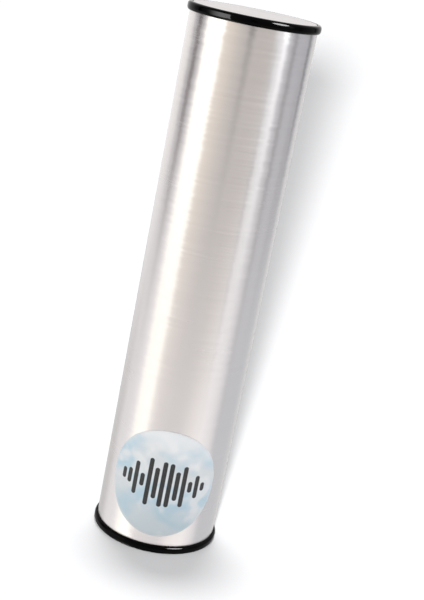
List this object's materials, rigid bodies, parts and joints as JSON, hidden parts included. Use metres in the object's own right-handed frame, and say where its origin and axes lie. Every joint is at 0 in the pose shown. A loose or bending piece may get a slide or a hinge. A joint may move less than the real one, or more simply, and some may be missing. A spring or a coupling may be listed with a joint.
{
  "type": "hand shaker",
  "caption": "Closed brushed aluminium tube shaker with black rim rings, flat end discs, a round label and loose steel shot that flies between its ends.",
  "frame": {"origin": "centre of the lower end disc's outer face, where the shaker stands", "axes": "+Z along the tube from the labelled end to the other end; the label faces -Y"},
  "size_m": [0.0532, 0.0532, 0.223],
  "materials": {
    "tube_aluminium": "satin, brushed round the tube",
    "disc_aluminium": "satin",
    "rim_black": "glossy moulded black",
    "label_film": "printed film, pale blue and mottled",
    "shot_steel": "bright steel shot"
  },
  "bodies": {
    "shell": {"tube": "tube_aluminium", "top_rim_ring": "rim_black", "bottom_rim_ring": "rim_black", "top_end_disc": "disc_aluminium", "bottom_end_disc": "disc_aluminium", "label": "label_film"},
    "bead_01": {"steel_bead_01": "shot_steel"},
    "bead_02": {"steel_bead_02": "shot_steel"},
    "bead_03": {"steel_bead_03": "shot_steel"},
    "bead_04": {"steel_bead_04": "shot_steel"},
    "bead_05": {"steel_bead_05": "shot_steel"},
    "bead_06": {"steel_bead_06": "shot_steel"},
    "bead_07": {"steel_bead_07": "shot_steel"},
    "bead_08": {"steel_bead_08": "shot_steel"},
    "bead_09": {"steel_bead_09": "shot_steel"},
    "bead_10": {"steel_bead_10": "shot_steel"},
    "bead_11": {"steel_bead_11": "shot_steel"},
    "bead_12": {"steel_bead_12": "shot_steel"},
    "bead_13": {"steel_bead_13": "shot_steel"},
    "bead_14": {"steel_bead_14": "shot_steel"},
    "bead_15": {"steel_bead_15": "shot_steel"},
    "bead_16": {"steel_bead_16": "shot_steel"},
    "bead_17": {"steel_bead_17": "shot_steel"},
    "bead_18": {"steel_bead_18": "shot_steel"},
    "bead_19": {"steel_bead_19": "shot_steel"},
    "bead_20": {"steel_bead_20": "shot_steel"},
    "bead_21": {"steel_bead_21": "shot_steel"},
    "bead_22": {"steel_bead_22": "shot_steel"},
    "bead_23": {"steel_bead_23": "shot_steel"},
    "bead_24": {"steel_bead_24": "shot_steel"},
    "bead_25": {"steel_bead_25": "shot_steel"},
    "bead_26": {"steel_bead_26": "shot_steel"},
    "bead_27": {"steel_bead_27": "shot_steel"},
    "bead_28": {"steel_bead_28": "shot_steel"},
    "bead_29": {"steel_bead_29": "shot_steel"},
    "bead_30": {"steel_bead_30": "shot_steel"},
    "bead_31": {"steel_bead_31": "shot_steel"},
    "bead_32": {"steel_bead_32": "shot_steel"},
    "bead_33": {"steel_bead_33": "shot_steel"},
    "bead_34": {"steel_bead_34": "shot_steel"},
    "bead_35": {"steel_bead_35": "shot_steel"},
    "bead_36": {"steel_bead_36": "shot_steel"},
    "bead_37": {"steel_bead_37": "shot_steel"}
  },
  "joints": [
    {"name": "bead_01_flight", "type": "slide", "parent": "shell", "child": "bead_01", "axis": [0, 0, 1], "range_m": [0, 0.2159]},
    {"name": "bead_02_flight", "type": "slide", "parent": "shell", "child": "bead_02", "axis": [0, 0, 1], "range_m": [0, 0.2159]},
    {"name": "bead_03_flight", "type": "slide", "parent": "shell", "child": "bead_03", "axis": [0, 0, 1], "range_m": [0, 0.2159]},
    {"name": "bead_04_flight", "type": "slide", "parent": "shell", "child": "bead_04", "axis": [0, 0, 1], "range_m": [0, 0.2159]},
    {"name": "bead_05_flight", "type": "slide", "parent": "shell", "child": "bead_05", "axis": [0, 0, 1], "range_m": [0, 0.2159]},
    {"name": "bead_06_flight", "type": "slide", "parent": "shell", "child": "bead_06", "axis": [0, 0, 1], "range_m": [0, 0.2159]},
    {"name": "bead_07_flight", "type": "slide", "parent": "shell", "child": "bead_07", "axis": [0, 0, 1], "range_m": [0, 0.2159]},
    {"name": "bead_08_flight", "type": "slide", "parent": "shell", "child": "bead_08", "axis": [0, 0, 1], "range_m": [0, 0.2159]},
    {"name": "bead_09_flight", "type": "slide", "parent": "shell", "child": "bead_09", "axis": [0, 0, 1], "range_m": [0, 0.2159]},
    {"name": "bead_10_flight", "type": "slide", "parent": "shell", "child": "bead_10", "axis": [0, 0, 1], "range_m": [0, 0.2159]},
    {"name": "bead_11_flight", "type": "slide", "parent": "shell", "child": "bead_11", "axis": [0, 0, 1], "range_m": [0, 0.2159]},
    {"name": "bead_12_flight", "type": "slide", "parent": "shell", "child": "bead_12", "axis": [0, 0, 1], "range_m": [0, 0.2159]},
    {"name": "bead_13_flight", "type": "slide", "parent": "shell", "child": "bead_13", "axis": [0, 0, 1], "range_m": [0, 0.2159]},
    {"name": "bead_14_flight", "type": "slide", "parent": "shell", "child": "bead_14", "axis": [0, 0, 1], "range_m": [0, 0.2159]},
    {"name": "bead_15_flight", "type": "slide", "parent": "shell", "child": "bead_15", "axis": [0, 0, 1], "range_m": [0, 0.2159]},
    {"name": "bead_16_flight", "type": "slide", "parent": "shell", "child": "bead_16", "axis": [0, 0, 1], "range_m": [0, 0.2159]},
    {"name": "bead_17_flight", "type": "slide", "parent": "shell", "child": "bead_17", "axis": [0, 0, 1], "range_m": [0, 0.2159]},
    {"name": "bead_18_flight", "type": "slide", "parent": "shell", "child": "bead_18", "axis": [0, 0, 1], "range_m": [0, 0.2159]},
    {"name": "bead_19_flight", "type": "slide", "parent": "shell", "child": "bead_19", "axis": [0, 0, 1], "range_m": [0, 0.2159]},
    {"name": "bead_20_flight", "type": "slide", "parent": "shell", "child": "bead_20", "axis": [0, 0, 1], "range_m": [0, 0.2159]},
    {"name": "bead_21_flight", "type": "slide", "parent": "shell", "child": "bead_21", "axis": [0, 0, 1], "range_m": [0, 0.2159]},
    {"name": "bead_22_flight", "type": "slide", "parent": "shell", "child": "bead_22", "axis": [0, 0, 1], "range_m": [0, 0.2159]},
    {"name": "bead_23_flight", "type": "slide", "parent": "shell", "child": "bead_23", "axis": [0, 0, 1], "range_m": [0, 0.2159]},
    {"name": "bead_24_flight", "type": "slide", "parent": "shell", "child": "bead_24", "axis": [0, 0, 1], "range_m": [0, 0.2159]},
    {"name": "bead_25_flight", "type": "slide", "parent": "shell", "child": "bead_25", "axis": [0, 0, 1], "range_m": [0, 0.2159]},
    {"name": "bead_26_flight", "type": "slide", "parent": "shell", "child": "bead_26", "axis": [0, 0, 1], "range_m": [0, 0.2159]},
    {"name": "bead_27_flight", "type": "slide", "parent": "shell", "child": "bead_27", "axis": [0, 0, 1], "range_m": [0, 0.2159]},
    {"name": "bead_28_flight", "type": "slide", "parent": "shell", "child": "bead_28", "axis": [0, 0, 1], "range_m": [0, 0.2159]},
    {"name": "bead_29_flight", "type": "slide", "parent": "shell", "child": "bead_29", "axis": [0, 0, 1], "range_m": [0, 0.2159]},
    {"name": "bead_30_flight", "type": "slide", "parent": "shell", "child": "bead_30", "axis": [0, 0, 1], "range_m": [0, 0.2159]},
    {"name": "bead_31_flight", "type": "slide", "parent": "shell", "child": "bead_31", "axis": [0, 0, 1], "range_m": [0, 0.2159]},
    {"name": "bead_32_flight", "type": "slide", "parent": "shell", "child": "bead_32", "axis": [0, 0, 1], "range_m": [0, 0.2159]},
    {"name": "bead_33_flight", "type": "slide", "parent": "shell", "child": "bead_33", "axis": [0, 0, 1], "range_m": [0, 0.2159]},
    {"name": "bead_34_flight", "type": "slide", "parent": "shell", "child": "bead_34", "axis": [0, 0, 1], "range_m": [0, 0.2159]},
    {"name": "bead_35_flight", "type": "slide", "parent": "shell", "child": "bead_35", "axis": [0, 0, 1], "range_m": [0, 0.2159]},
    {"name": "bead_36_flight", "type": "slide", "parent": "shell", "child": "bead_36", "axis": [0, 0, 1], "range_m": [0, 0.2159]},
    {"name": "bead_37_flight", "type": "slide", "parent": "shell", "child": "bead_37", "axis": [0, 0, 1], "range_m": [0, 0.2159]}
  ]
}
